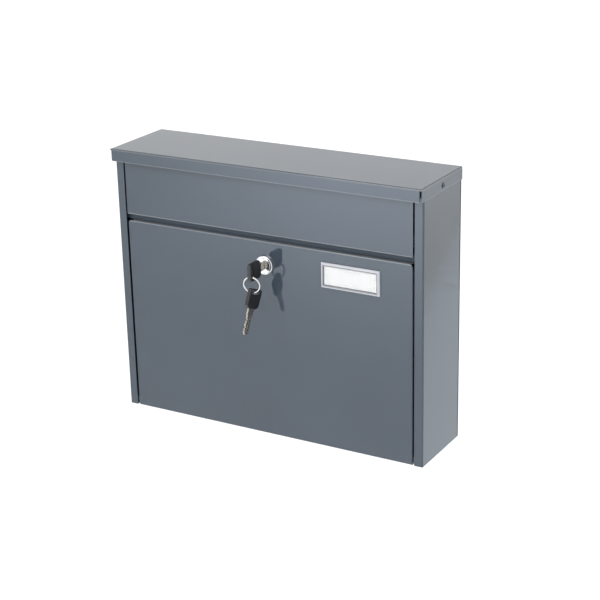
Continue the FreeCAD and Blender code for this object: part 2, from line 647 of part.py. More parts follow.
def blade_edge(side):
    """One toothed edge of the blade, as (y, z) points from the neck to the tip."""
    start = BOW_LENGTH - SLOT_FROM_END + BLADE_NECK + SHEET
    end = BOW_LENGTH - SLOT_FROM_END + BLADE_LENGTH
    pitch = (end - start - BLADE_WIDTH / 2) / BITTING_COUNT
    points = [(start, side * BLADE_WIDTH / 2)]
    for i in range(BITTING_COUNT):
        depth = BITTING_STEP * (1 + (i * 2 + (side > 0)) % 3)
        middle = start + (i + 0.5) * pitch
        points.append((middle - pitch / 6, side * (BLADE_WIDTH / 2 - depth)))
        points.append((middle + pitch / 6, side * (BLADE_WIDTH / 2 - depth)))
        points.append((middle + pitch / 2, side * (BLADE_WIDTH / 2 - BITTING_STEP / 2)))
    points.append((end, side * BLADE_WIDTH / 6))
    return points


def key_blade():
    """A key's blade in its own frame: the bow's slot at the origin, the tip towards +Y, flat in X."""
    bow_end = BOW_LENGTH - SLOT_FROM_END
    neck = BLADE_WIDTH / 2 + BLADE_SHOULDER
    upper = [(bow_end - BLADE_SHANK, neck), (bow_end + BLADE_NECK, neck)] + blade_edge(1)
    lower = [(bow_end - BLADE_SHANK, -neck), (bow_end + BLADE_NECK, -neck)] + blade_edge(-1)
    outline = upper + lower[::-1] + upper[:1]
    half = BLADE_THICKNESS / 2
    blade = Part.Face(Part.makePolygon([V(-half, y, z) for y, z in outline])).extrude(V(BLADE_THICKNESS, 0, 0))
    for x in (-half - SHEET, half - BITTING_STEP):
        groove = box(x, x + SHEET + BITTING_STEP, bow_end + BLADE_NECK, bow_end + 2 * BLADE_LENGTH,
                     -BLADE_THICKNESS / 4, BLADE_THICKNESS / 4)
        blade = blade.cut(groove)
    return blade


def bow_prism(margin, x0, x1):
    """The bow's outline, less a margin all round, between two thicknesses."""
    y0 = -SLOT_FROM_END + margin
    y1 = BOW_LENGTH - SLOT_FROM_END - margin
    half = BOW_WIDTH / 2 - margin
    prism = box(x0, x1, y0, y1, -half, half)
    prism = prism.makeFillet(BOW_CORNER_R - margin / 2, along_x(edges_at(prism, "Y", y0)))
    return prism.makeChamfer(BOW_CHAMFER, along_x(edges_at(prism, "Y", y1)))


def key_bow(blade):
    """A key's moulded bow in the same frame, with softened edges, sunk panels and the ring slot."""
    half = BOW_THICKNESS / 2
    bow = bow_prism(0, -half, half)
    rims = [e for e in bow.Edges if near(e.BoundBox.XMin, e.BoundBox.XMax)]
    bow = bow.makeChamfer(BOW_EDGE, rims)
    panel_start = SLOT_WIDTH / 2 + BOW_PANEL_MARGIN / 2
    for x in (-half - SHEET, half - BOW_PANEL):
        sunk = bow_prism(BOW_PANEL_MARGIN, x, x + SHEET + BOW_PANEL)
        sunk = sunk.common(box(x, x + 2 * SHEET, panel_start, BOW_LENGTH, -BOW_WIDTH, BOW_WIDTH))
        bow = bow.cut(sunk)
    half_w = SLOT_WIDTH / 2
    half_l = SLOT_LENGTH / 2
    slot = box(-BOW_THICKNESS, BOW_THICKNESS, -half_w, half_w, -half_l, half_l)
    slot = slot.makeFillet(SLOT_CORNER_R, along_x(slot.Edges))
    return bow.cut(slot).cut(blade)


def key_in_lock(shape):
    """Puts a key's piece in the lock, upright."""
    return shape.translated(V(LOCK_X, KEY_SLOT_Y, LOCK_Z))


def spare_on_ring(shape):
    """Hangs a key's piece from the ring's lowest point, leaning and turned."""
    hung = shape.copy()
    hung.translate(V(0, SPARE_DROP, SPARE_SHIFT))
    hung.rotate(V(0, 0, 0), V(1, 0, 0), -90 + SPARE_LEAN)
    hung.rotate(V(0, 0, 0), V(0, 0, 1), SPARE_TURN)
    return hung.translated(V(RING_BOTTOM_X, RING_BOTTOM_Y, RING_BOTTOM_Z))


def key_ring():
    """The split ring, as one closed ring as wide as its two turns, tilted towards the door and turned."""
    half_wire = RING_WIRE / 2
    half_width = RING_WIDTH / 2
    section = box(RING_MEAN_R - half_wire, RING_MEAN_R + half_wire, -half_width, half_width, 0, SHEET)
    section = [f for f in section.Faces if near(f.BoundBox.ZMax, 0)][0]
    ring = section.revolve(V(0, 0, 0), V(0, 1, 0), 360)
    ring = ring.makeFillet(half_wire * 0.6, [e for e in ring.Edges if e.Closed])
    ring.translate(V(0, 0, -RING_MEAN_R))
    ring.rotate(V(0, 0, 0), V(1, 0, 0), RING_TILT)
    ring.rotate(V(0, 0, 0), V(0, 0, 1), RING_TURN)
    return ring.translated(V(LOCK_X, KEY_SLOT_Y, RING_TOP_Z))


def build():
    """Writes every piece."""
    right = side_panel()
    save("side_panel_right", right)
    save("side_panel_left", mirrored(right))
    save("back_panel", back_panel())
    save("floor_panel", floor_panel())
    save("lid", lid())
    save("lid_rivets", both_sides(lid_rivet()))
    save("strike_rail", strike_rail())
    save("door_buffers", both_sides(door_buffer()))
    save("hinge_rivets", both_sides(hinge_rivet()))
    save("hinge_washers", both_sides(hinge_washer()))
    save("flap_rod", flap_rod())
    save("flap_stops", both_sides(flap_stop()))
    save("flap_buffers", both_sides(flap_buffer()))
    save("flap_panel", flap_panel())
    save("door_panel", door_panel())
    save("name_holder", name_holder())
    card, window = card_and_window()
    save("name_card", card)
    save("name_window", window)
    save("lock_housing", lock_housing())
    save("lock_nut", lock_nut())
    save("lock_washer", lock_washer())
    save("lock_plug", lock_plug())
    save("lock_wafers", lock_wafers())
    save("wafer_springs", wafer_springs())
    save("lock_cam", lock_cam())
    save("cam_washer", cam_washer())
    save("cam_screw", cam_screw())
    blade = key_blade()
    bow = key_bow(blade)
    save("key_blade", key_in_lock(blade))
    save("key_bow", key_in_lock(bow))
    save("key_ring", key_ring())
    save("spare_key_blade", spare_on_ring(blade))
    save("spare_key_bow", spare_on_ring(bow))


build()
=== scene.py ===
"""A wall mounted mailbox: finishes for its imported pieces, a split key ring, wafer springs and a studio."""

import json
import math
from typing import Callable, NamedTuple

import bpy
import numpy as np
from bpy.props import FloatProperty, FloatVectorProperty, IntProperty, PointerProperty
from mathutils import Matrix, Vector


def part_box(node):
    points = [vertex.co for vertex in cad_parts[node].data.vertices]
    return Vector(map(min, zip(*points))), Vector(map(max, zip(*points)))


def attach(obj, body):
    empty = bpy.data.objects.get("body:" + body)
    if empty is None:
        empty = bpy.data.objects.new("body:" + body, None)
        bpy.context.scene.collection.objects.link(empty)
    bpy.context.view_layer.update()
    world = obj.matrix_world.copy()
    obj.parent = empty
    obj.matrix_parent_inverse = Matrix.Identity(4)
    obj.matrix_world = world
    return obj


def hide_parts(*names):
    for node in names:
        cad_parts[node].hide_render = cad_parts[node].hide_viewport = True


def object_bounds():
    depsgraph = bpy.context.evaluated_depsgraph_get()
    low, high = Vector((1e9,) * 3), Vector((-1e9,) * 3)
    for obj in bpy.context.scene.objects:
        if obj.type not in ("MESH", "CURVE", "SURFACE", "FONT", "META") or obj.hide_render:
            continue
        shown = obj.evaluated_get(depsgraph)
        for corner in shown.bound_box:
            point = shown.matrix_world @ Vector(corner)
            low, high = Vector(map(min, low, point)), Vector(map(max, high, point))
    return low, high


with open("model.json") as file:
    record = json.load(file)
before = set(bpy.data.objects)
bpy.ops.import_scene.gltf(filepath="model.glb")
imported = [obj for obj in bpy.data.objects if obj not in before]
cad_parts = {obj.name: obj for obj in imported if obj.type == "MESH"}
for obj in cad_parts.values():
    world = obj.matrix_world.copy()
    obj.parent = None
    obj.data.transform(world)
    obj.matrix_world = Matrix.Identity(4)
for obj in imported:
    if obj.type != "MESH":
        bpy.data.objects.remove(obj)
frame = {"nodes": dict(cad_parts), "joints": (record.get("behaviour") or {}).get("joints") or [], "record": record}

CAD_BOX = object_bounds()
BODY_OF = {node: body for body, nodes in frame["record"]["behaviour"]["bodies"].items() for node in nodes}
SLOT_OF = {part["node"]: part["material_slot"] for part in frame["record"]["subparts"]}
LOW, HIGH = 0, 1  # the two corners of a box

# The strike rail is only reached by overspray, which dries rough and dull.
OVERSPRAY_DULL = 5.0
OVERSPRAY_IOR = 1.33
# Painted highlights along the edges: which end of the piece in height, how far above it in metres, the line's
# half width in metres, and how much paler it is than the edge colour.
PAINTED_EDGE_HIGHLIGHTS = {
    "lid": ((LOW, 0.0, 0.0011, 2.2), (HIGH, -0.0012, 0.0009, 1.9)),
    "flap_panel": ((LOW, 0.0006, 0.0012, 3.4),),
    "door_panel": ((HIGH, -0.0004, 0.0011, 2.6),),
}
HOLDER_ALPHA = 0.62
# Width of the holder's rim; its inner half is darkened as painted shade.
HOLDER_RIM = 0.003
WINDOW_ALPHA = 0.012
FULL_FRAME = 36.0  # sensor width in millimetres

bl_info = {
    "name": "Wall Mailbox",
    "version": (1, 0, 0),
    "blender": (4, 5, 0),
    "location": "View3D > Sidebar > Mailbox",
    "description": "Finishes and fine pieces for a wall mounted sheet-steel mailbox",
    "category": "Object",
}


# ---------------------------------------------------------------- shader maths

class Wire:
    """A shader socket that takes part in Python sums, adding one Math node for each step."""

    def __init__(self, finish, socket):
        self.finish = finish
        self.socket = socket

    def math(self, operation, first, second=None):
        values = {0: first} if second is None else {0: first, 1: second}
        return self.finish.node("ShaderNodeMath", {"operation": operation}, values)

    def __add__(self, other):
        return self.math("ADD", self, other)

    def __sub__(self, other):
        return self.math("SUBTRACT", self, other)

    def __rsub__(self, other):
        return self.math("SUBTRACT", other, self)

    def __mul__(self, other):
        return self.math("MULTIPLY", self, other)

    def __abs__(self):
        return self.math("ABSOLUTE", self)

    __radd__ = __add__
    __rmul__ = __mul__

    def least(self, other):
        """The lesser of the two values."""
        return self.math("MINIMUM", self, other)

    def ramp(self, low, high):
        """0 up to low, 1 from high on, and smooth between them."""
        values = {"Value": self, "From Min": low, "From Max": high}
        return self.finish.node("ShaderNodeMapRange", {"interpolation_type": "SMOOTHSTEP"}, values)


class Finish:
    """One material: a Principled shader and the nodes that vary it over the surface."""

    def __init__(self, name, **constants):
        self.material = bpy.data.materials.new(name)
        self.material.use_nodes = True
        self.tree = self.material.node_tree
        self.shader = self.tree.nodes["Principled BSDF"]
        for socket, value in constants.items():
            self.shader.inputs[socket.replace("_", " ")].default_value = value

    def node(self, kind, settings=None, inputs=None, output=0):
        """A node of that type, with its settings made first and then its sockets' values or links."""
        made = self.tree.nodes.new(kind)
        for key, value in (settings or {}).items():
            setattr(made, key, value)
        for key, value in (inputs or {}).items():
            if isinstance(value, Wire):
                self.tree.links.new(value.socket, made.inputs[key])
            else:
                made.inputs[key].default_value = value
        return Wire(self, made.outputs[output])

    def place(self, stretch=(1.0, 1.0, 1.0), shift=(0.0, 0.0, 0.0)):
        """The object's own coordinates in metres, stretched and shifted."""
        own = self.node("ShaderNodeTexCoord", output="Object")
        return self.node("ShaderNodeMapping", None, {"Vector": own, "Scale": stretch, "Location": shift})

    def along(self, axis):
        """The object's own X, Y or Z coordinate in metres."""
        return self.node("ShaderNodeSeparateXYZ", None, {"Vector": self.place()}, output=axis)

    def level_band(self, height, width):
        """1 at a height and 0 from width away, with a slightly ragged edge."""
        ragged = self.noise(0.004) * width * 0.3
        return 1.0 - (abs(self.along("Z") - height) + ragged).ramp(width * 0.55, width)

    def depth_inside(self, low, high):
        """How far a point lies inside a box's outline, seen from the front: the lesser of the ways in along
        X and Z, each half the box's size less the distance from its middle."""
        ways = []
        for axis, i in (("X", 0), ("Z", 2)):
            off = abs(self.along(axis) - (low[i] + high[i]) / 2)
            ways.append((high[i] - low[i]) / 2 - off)
        return ways[0].least(ways[1])

    def noise(self, size, detail=2.0, rough=0.5, stretch=(1.0, 1.0, 1.0), shift=(0.0, 0.0, 0.0)):
        """Soft noise from 0 to 1 whose blotches are about size metres across."""
        place = self.place(stretch, shift)
        values = {"Vector": place, "Scale": 1.0 / size, "Detail": detail, "Roughness": rough}
        return self.node("ShaderNodeTexNoise", None, values)

    def blend(self, mask, first, second):
        """One colour going to another as the mask goes from 0 to 1."""
        colours = {"Factor": mask, 6: first, 7: second}
        return self.node("ShaderNodeMix", {"data_type": "RGBA"}, colours, output=2)

    def colour(self, value):
        self.tree.links.new(value.socket, self.shader.inputs["Base Color"])

    def rough(self, value):
        self.tree.links.new(value.socket, self.shader.inputs["Roughness"])

    def bump(self, height, depth):
        """Raises the surface by up to depth metres where the height goes from 0 to 1."""
        made = self.node("ShaderNodeBump", None, {"Height": height, "Distance": depth})
        self.tree.links.new(made.socket, self.shader.inputs["Normal"])


def shade(colour, factor):
    """A colour made lighter or darker, with full alpha."""
    return tuple(min(1.0, c * factor) for c in colour[:3]) + (1.0,)


# ---------------------------------------------------------------- finishes

def enamel(name, paint, edges=(), dull=1.0, ior=1.6):
    """Stoved gloss enamel: a faint orange peel, slow changes in gloss and specks of dust in the film. Along the
    edges it has painted highlights: pale lines, each given as a height, its half width and how much paler
    than the edge colour it is. A dull above 1 makes the enamel rougher, and a lower index of refraction less
    shiny."""
    finish = Finish(name, IOR=ior)
    tone = finish.noise(0.11, detail=3.0, shift=(0.3, 0.1, 0.0)).ramp(0.3, 0.7)
    fleck = finish.noise(0.0011, detail=1.0).ramp(0.62, 0.8)
    colour = finish.blend(tone, shade(paint.colour, 0.965), shade(paint.colour, 1.035))
    colour = finish.blend(fleck * 0.35, colour, shade(paint.colour, 0.82))
    # Painted highlights: each listed edge gets a pale line in the base colour, standing in for light caught on the
    # edge.
    for height, width, paler in edges:
        colour = finish.blend(finish.level_band(height, width), colour, shade(paint.edge, paler))
    finish.colour(colour)
    haze = finish.noise(0.045, detail=4.0, rough=0.6)
    finish.rough(paint.roughness * dull * (0.8 + haze * 0.4))
    peel = finish.noise(paint.peel_size, rough=0.45)
    finish.bump(peel + fleck * 0.15, paint.peel_depth)
    return finish.material


def polished_plate(name, colour):
    """Bright plated metal with fine polishing lines and faint clouding."""
    finish = Finish(name, Metallic=1.0)
    cloud = finish.noise(0.004, detail=3.0)
    finish.colour(finish.blend(cloud.ramp(0.35, 0.75), shade(colour, 1.0), shade(colour, 0.9)))
    lines = finish.noise(0.0005, rough=0.6, stretch=(1.0, 0.08, 1.0))
    finish.rough(0.05 + cloud * 0.06 + lines * 0.03)
    finish.bump(lines, depth=0.000004)
    return finish.material


def plated_steel(name, colour, roughness, grain=0.0018, lines=(1.0, 1.0, 1.0)):
    """Plated steel: a fine crystal cloudiness in the plating and short rolling marks."""
    finish = Finish(name, Metallic=1.0)
    cloud = finish.noise(grain, detail=3.0, rough=0.6)
    marks = finish.noise(grain / 3, rough=0.6, stretch=lines)
    tint = finish.blend(cloud.ramp(0.3, 0.75), shade(colour, 1.04), shade(colour, 0.86))
    finish.colour(finish.blend(marks.ramp(0.62, 0.85) * 0.4, tint, shade(colour, 0.7)))
    finish.rough(roughness * (0.75 + cloud * 0.5))
    finish.bump(marks, depth=0.000008)
    return finish.material


def moulded_plastic(name, colour, roughness, **constants):
    """Moulded plastic with a fine spark-eroded grain and small changes in sheen."""
    finish = Finish(name, **constants)
    cloud = finish.noise(0.006)
    texture = finish.noise(0.0004, rough=0.6)
    finish.colour(finish.blend(cloud.ramp(0.3, 0.7), shade(colour, 0.9), shade(colour, 1.12)))
    finish.rough(roughness * (0.8 + cloud * 0.4) + texture * 0.05)
    finish.bump(texture, depth=0.00001)
    return finish.material


def card_stock(name, colour):
    """White card: short paper fibres and a barely uneven tone."""
    finish = Finish(name)
    fibre = finish.noise(0.0006, detail=3.0, rough=0.65, stretch=(0.35, 1.0, 1.0))
    finish.colour(finish.blend(fibre.ramp(0.3, 0.75), shade(colour, 1.0), shade(colour, 0.965)))
    finish.rough(0.78 + fibre * 0.15)
    finish.bump(fibre, depth=0.00001)
    return finish.material


def clear_moulding(name, tint, alpha, rim_of=None, rim=0.0):
    """Clear plastic, seen through, with faint flow marks and a polished face. With a box and the width of its
    rim, the inner half of the rim is darkened to grey as painted shade of the recess."""
    finish = Finish(name, Alpha=alpha, IOR=1.49)
    flow = finish.noise(0.012, stretch=(1.0, 1.0, 3.0))
    colour = finish.blend(flow.ramp(0.3, 0.7), shade(tint, 1.0), shade(tint, 0.95))
    if rim_of:
        # Painted shade: the inner half of the rim darkens to grey, standing in for the shadow in the recess around
        # the card.
        painted_rim_shade = finish.depth_inside(*rim_of).ramp(rim * 0.45, rim * 0.68)
        colour = finish.blend(painted_rim_shade, colour, shade(tint, 0.42))
    finish.colour(colour)
    finish.rough(0.04 + flow * 0.06)
    finish.bump(flow, depth=0.00001)
    return finish.material


def rubber(name, colour):
    """Soft black rubber: matte, with a dusty bloom in patches."""
    finish = Finish(name)
    bloom = finish.noise(0.003, detail=3.0, rough=0.6)
    finish.colour(finish.blend(bloom.ramp(0.4, 0.8), shade(colour, 1.0), shade(colour, 1.8)))
    finish.rough(0.65 + bloom * 0.25)
    finish.bump(bloom, depth=0.00003)
    return finish.material


# ---------------------------------------------------------------- numpy shapes

def grid_mesh(name, points, close=False, cap=False):
    """A mesh over a grid of points of shape (rows, columns, 3): each cell is a four-sided face, the last
    column joins the first where close is set, and cap closes both end rows with one face each."""
    rows, columns = points.shape[:2]
    a, b = np.meshgrid(np.arange(rows - 1), np.arange(columns if close else columns - 1), indexing="ij")
    a, b = a.ravel(), b.ravel()
    c, d = a + 1, (b + 1) % columns
    quads = np.stack([a * columns + b, a * columns + d, c * columns + d, c * columns + b], 1)
    faces = quads.tolist()
    if cap:
        ring = np.arange(columns)
        faces += [ring[::-1].tolist(), (ring + (rows - 1) * columns).tolist()]
    mesh = bpy.data.meshes.new(name)
    mesh.from_pydata(points.reshape(-1, 3).tolist(), [], faces)
    mesh.polygons.foreach_set("use_smooth", np.full(len(faces), True))
    if cap:
        mesh.polygons[-1].use_smooth = mesh.polygons[-2].use_smooth = False
    mesh.update()
    return mesh


def new_piece(name, mesh, material, body=None):
    """An object at the origin that carries the mesh, and rides on a body unless it is part of the stage."""
    mesh.materials.append(material)
    piece = bpy.data.objects.new(name, mesh)
    bpy.context.scene.collection.objects.link(piece)
    if body is None:
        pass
    else:
        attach(piece, body)
    return piece


def swept(path, across, up, section):
    """A closed section carried along a path: each row is the path's point plus the section's two
    coordinates times the path's own across and up directions."""
    return path[:, None] + section[None, :, :1] * across[:, None] + section[None, :, 1:] * up[:, None]


def rounded_section(width, height, count, power=3.0):
    """A superellipse: the cosine and sine of an angle, each to 2 / power with its sign kept, times the half
    width and half height."""
    angle = np.linspace(0, 2 * np.pi, count, endpoint=False)
    cos, sin = np.cos(angle), np.sin(angle)
    x = np.sign(cos) * np.abs(cos) ** (2 / power) * width / 2
    y = np.sign(sin) * np.abs(sin) ** (2 / power) * height / 2
    return np.stack([x, y], 1)


def finish_nodes(material, *nodes):
    """Gives CAD nodes a material, leaving their shapes alone."""
    for node in nodes:
        mesh = frame["nodes"][node].data
        mesh.materials.clear()
        mesh.materials.append(material)


def nodes_in(*slots):
    """The CAD nodes whose material slot is one of these."""
    return [node for node in frame["nodes"] if SLOT_OF[node] in slots]


# ---------------------------------------------------------------- sizes and colours

def colour_property(name, value, description):
    return FloatVectorProperty(name=name, description=description, subtype="COLOR", size=3, min=0.0, max=1.0,
                               default=value)


def length_property(name, value, description):
    return FloatProperty(name=name, description=description, default=value, unit="LENGTH", subtype="DISTANCE",
                         precision=5)


class MailboxPaint(bpy.types.PropertyGroup):
    """The enamel on the sheet metal."""
    colour: colour_property("Paint", (0.033, 0.046, 0.062), "Colour of the enamel")
    # The edge colour is the base of the painted highlights along the lid, flap and door edges.
    edge: colour_property("Edge", (0.044, 0.049, 0.054), "Colour of the enamel where it runs thin")
    roughness: FloatProperty(name="Roughness", description="Gloss of the enamel, 0 is a mirror", default=0.07,
                             min=0.0, max=1.0)
    peel_size: length_property("Orange peel", 0.0045, "Width of one ripple in the enamel")
    peel_depth: length_property("Peel depth", 0.0000025, "Height of the ripples in the enamel")


class MailboxTrim(bpy.types.PropertyGroup):
    """Colours of the lock, keys, hardware and name holder."""
    chrome: colour_property("Chrome", (0.60, 0.60, 0.61), "Colour of the lock's plating")
    zinc: colour_property("Zinc", (0.60, 0.61, 0.62), "Colour of the zinc plated fixings")
    brass: colour_property("Brass", (0.72, 0.55, 0.28), "Colour of the wafers")
    key_metal: colour_property("Key metal", (0.44, 0.41, 0.36), "Colour of the key blades")
    wire: colour_property("Wire", (0.74, 0.74, 0.74), "Colour of the ring, rod and springs")
    bow: colour_property("Key bow", (0.012, 0.012, 0.014), "Colour of the keys' moulded bows")
    holder: colour_property("Name holder", (0.74, 0.75, 0.80), "Tint of the clear name holder")
    card: colour_property("Name card", (0.98, 0.98, 0.975), "Colour of the blank card")
    buffer: colour_property("Rubber", (0.025, 0.025, 0.026), "Colour of the buffers")
    washer: colour_property("Nylon", (0.06, 0.06, 0.062), "Colour of the hinge washers")


class MailboxRing(bpy.types.PropertyGroup):
    """The split ring that holds the keys."""
    wire_height: length_property("Wire height", 0.0012, "The wire's size across the ring")
    turn_width: length_property("Turn width", 0.0009, "The wire's size along the ring's axis")
    turns: FloatProperty(name="Turns", description="How many times the wire goes round", default=1.96)
    step_share: FloatProperty(name="Step", description="Share of a turn in which the wire steps over",
                              default=0.12, min=0.02, max=0.5)


class MailboxSprings(bpy.types.PropertyGroup):
    """The springs under the lock's wafers."""
    count: IntProperty(name="Springs", description="One spring for each wafer", default=5, min=1)
    radius: length_property("Radius", 0.0007, "Outside radius of one spring")
    wire: length_property("Wire", 0.00026, "Diameter of the spring wire")
    coils: IntProperty(name="Coils", description="Turns in one spring", default=9, min=2)


class MailboxStage(bpy.types.PropertyGroup):
    """The floor, the lights and the camera."""
    floor: colour_property("Floor", (0.9, 0.9, 0.9), "Colour of the floor")
    floor_drop: length_property("Floor drop", 1.0, "Height of the mailbox above the floor")
    world: FloatProperty(name="Surroundings", description="Brightness all round", default=1.32, min=0.0)
    front_glow: FloatProperty(name="Front light", description="Brightness of the soft light in front",
                              default=3.5, min=0.0)
    top_glow: FloatProperty(name="Upper light", description="Brightness of the soft light in front and above",
                            default=7.0, min=0.0)
    side_glow: FloatProperty(name="Side light", description="Brightness of the soft light at the right",
                             default=1.55, min=0.0)
    camera_place: FloatVectorProperty(name="Camera", description="Where the camera stands", subtype="XYZ",
                                      unit="LENGTH", default=(0.7962, -1.3804, 0.5552))
    camera_turn: FloatProperty(name="Turn", description="Camera's turn from looking straight at the wall",
                               default=math.radians(-30.24), subtype="ANGLE")
    camera_tilt: FloatProperty(name="Tilt", description="Camera's tilt from level", subtype="ANGLE",
                               default=math.radians(-20.10))
    camera_roll: FloatProperty(name="Roll", description="Camera's roll about its own axis", subtype="ANGLE",
                               default=math.radians(-1.32))
    camera_lens: FloatProperty(name="Lens", description="Focal length in millimetres", default=95.04)


# ---------------------------------------------------------------- operators

class MAILBOX_OT_paint(bpy.types.Operator):
    """Enamels the sheet-metal pieces"""
    bl_idname = "mailbox.paint"
    bl_label = "Enamel the sheet metal"

    def execute(self, context):
        paint = context.scene.mailbox_paint
        finish_nodes(enamel("body_enamel", paint), *nodes_in("body_paint"))
        finish_nodes(enamel("rail_enamel", paint, dull=OVERSPRAY_DULL, ior=OVERSPRAY_IOR), "strike_rail")
        # The lid, flap and door get enamel with painted highlights along their listed edges.
        for node, lines in PAINTED_EDGE_HIGHLIGHTS.items():
            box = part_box(node)
            edges = [(box[end][2] + above, width, paler) for end, above, width, paler in lines]
            finish_nodes(enamel(node.split("_")[0] + "_enamel", paint, edges), node)
        return {"FINISHED"}


class MAILBOX_OT_lock(bpy.types.Operator):
    """Plates the lock's housing and plug, and finishes the parts behind them"""
    bl_idname = "mailbox.lock"
    bl_label = "Finish the lock"

    def execute(self, context):
        trim = context.scene.mailbox_trim
        finish_nodes(polished_plate("lock_chrome", trim.chrome), *nodes_in("chrome"))
        finish_nodes(plated_steel("wafer_brass", trim.brass, roughness=0.3, grain=0.0008), *nodes_in("brass"))
        return {"FINISHED"}


class MAILBOX_OT_keys(bpy.types.Operator):
    """Finishes the keys' blades and moulded bows"""
    bl_idname = "mailbox.keys"
    bl_label = "Finish the keys"

    def execute(self, context):
        trim = context.scene.mailbox_trim
        blade = plated_steel("key_nickel", trim.key_metal, roughness=0.26, grain=0.0012,
                             lines=(1.0, 0.15, 1.0))
        finish_nodes(blade, *nodes_in("key_steel"))
        finish_nodes(moulded_plastic("key_bow_plastic", trim.bow, roughness=0.3), *nodes_in("key_plastic"))
        return {"FINISHED"}


class MAILBOX_OT_name_holder(bpy.types.Operator):
    """Finishes the name holder, its window and its blank card"""
    bl_idname = "mailbox.name_holder"
    bl_label = "Finish the name holder"

    def execute(self, context):
        trim = context.scene.mailbox_trim
        holder = clear_moulding("holder_clear", trim.holder, HOLDER_ALPHA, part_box("name_holder"), HOLDER_RIM)
        finish_nodes(holder, "name_holder")
        finish_nodes(clear_moulding("window_clear", trim.holder, WINDOW_ALPHA), "name_window")
        finish_nodes(card_stock("name_card_stock", trim.card), *nodes_in("card_white"))
        return {"FINISHED"}


class MAILBOX_OT_hardware(bpy.types.Operator):
    """Finishes rivets, nuts, washers, rod, buffers and hinge washers"""
    bl_idname = "mailbox.hardware"
    bl_label = "Finish the hardware"

    def execute(self, context):
        trim = context.scene.mailbox_trim
        finish_nodes(plated_steel("zinc_plate", trim.zinc, roughness=0.34), *nodes_in("zinc_steel"))
        wire = plated_steel("bright_wire", trim.wire, roughness=0.2, grain=0.001)
        finish_nodes(wire, *nodes_in("spring_steel"))
        finish_nodes(rubber("buffer_rubber", trim.buffer), *nodes_in("rubber_black"))
        nylon = moulded_plastic("washer_nylon", trim.washer, roughness=0.45, Subsurface_Weight=0.15)
        finish_nodes(nylon, *nodes_in("nylon"))
        return {"FINISHED"}


class MAILBOX_OT_key_ring(bpy.types.Operator):
    """Builds the split ring from its two touching turns of flat wire"""
    bl_idname = "mailbox.key_ring"
    bl_label = "Make the split ring"

    def execute(self, context):
        size = context.scene.mailbox_ring
        hung = {joint["child"]: joint for joint in frame["joints"]}
        top = np.array(hung["ring"]["pos_m"], float)
        bottom = np.array(hung["spare_key"]["pos_m"], float)
        tangent = np.array(hung["ring"]["axis"], float)
        mean = np.linalg.norm(top - bottom) / 2
        mesh = split_ring((top + bottom) / 2, tangent, (top - bottom) / (2 * mean), mean, size)
        piece = new_piece("split_ring", mesh, bpy.data.materials["bright_wire"], BODY_OF["key_ring"])
        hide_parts("key_ring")
        return {"FINISHED"}


def split_ring(middle, tangent, upward, mean, size):
    """Flat wire wound about the middle: at angle t the wire's centre lies at the mean radius along
    tangent * cos t + upward * sin t, and steps along the axle by one turn width in a short smooth stretch
    half way along, so that the two turns lie side by side."""
    rows, start, side_gap, points = 220, 0.36, 0.97, 14
    turn = np.linspace(0.0, size.turns, rows)
    angle = 2 * np.pi * (turn + start)
    radial = np.cos(angle)[:, None] * tangent + np.sin(angle)[:, None] * upward
    step = np.clip((turn - size.turns / 2) / size.step_share + 0.5, 0.0, 1.0)
    step = step * step * (3 - 2 * step)
    axle = np.cross(tangent, upward)
    path = middle + radial * mean + axle * ((step - 0.5) * size.turn_width)[:, None]
    section = rounded_section(size.wire_height, size.turn_width * side_gap, points)
    across = np.broadcast_to(axle, radial.shape)
    return grid_mesh("split_ring", swept(path, radial, across, section), close=True, cap=True)


class MAILBOX_OT_springs(bpy.types.Operator):
    """Winds the small springs under the wafers"""
    bl_idname = "mailbox.springs"
    bl_label = "Make the wafer springs"

    def execute(self, context):
        size = context.scene.mailbox_springs
        low, high = (np.array(corner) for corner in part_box("wafer_springs"))
        x = (low[0] + high[0]) / 2
        places = np.linspace(low[1] + size.radius, high[1] - size.radius, size.count)
        for i, y in enumerate(places):
            foot = np.array([x, y, low[2] + size.wire / 2])
            mesh = coil_spring(foot, high[2] - low[2] - size.wire, size)
            piece = new_piece(f"wafer_spring_{i + 1}", mesh, bpy.data.materials["bright_wire"],
                              BODY_OF["wafer_springs"])
            if i == 0:
                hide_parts("wafer_springs")
        return {"FINISHED"}


def coil_spring(foot, height, size):
    """A helix of round wire: the centre goes round at a fixed radius while it climbs evenly, and the wire's
    circle stands square to the climb."""
    rows_per_coil, points, clearance = 12, 6, 0.00001
    turn = np.linspace(0.0, 1.0, size.coils * rows_per_coil)
    angle = 2 * np.pi * size.coils * turn
    radial = np.stack([np.cos(angle), np.sin(angle), np.zeros_like(angle)], 1)
    radius = size.radius - size.wire / 2 - clearance
    upward = np.array([0.0, 0.0, 1.0])
    path = foot + radial * radius + upward * (turn * height)[:, None]
    up = np.broadcast_to(upward, radial.shape)
    section = rounded_section(size.wire, size.wire, points, power=2.0)
    return grid_mesh("coil_spring", swept(path, up, radial, section), close=True, cap=True)


class MAILBOX_OT_stage(bpy.types.Operator):
    """Sets up the floor, the surroundings, the lights and the camera"""
    bl_idname = "mailbox.stage"
    bl_label = "Set the stage"

    def execute(self, context):
        stage = context.scene.mailbox_stage
        floor = Finish("floor_white", Roughness=0.7)
        cloud = floor.noise(0.8)
        floor.colour(floor.blend(cloud, shade(stage.floor, 0.99), shade(stage.floor, 1.01)))
        new_piece("floor", floor_bowl(CAD_BOX[0].z - stage.floor_drop), floor.material)
        set_world(context.scene, stage.world)
        for light in SOFT_LIGHTS:
            soft_light(light, getattr(stage, light.level) * light.share)
        set_camera(context.scene, stage)
        context.scene.view_settings.view_transform = "Standard"
        return {"FINISHED"}


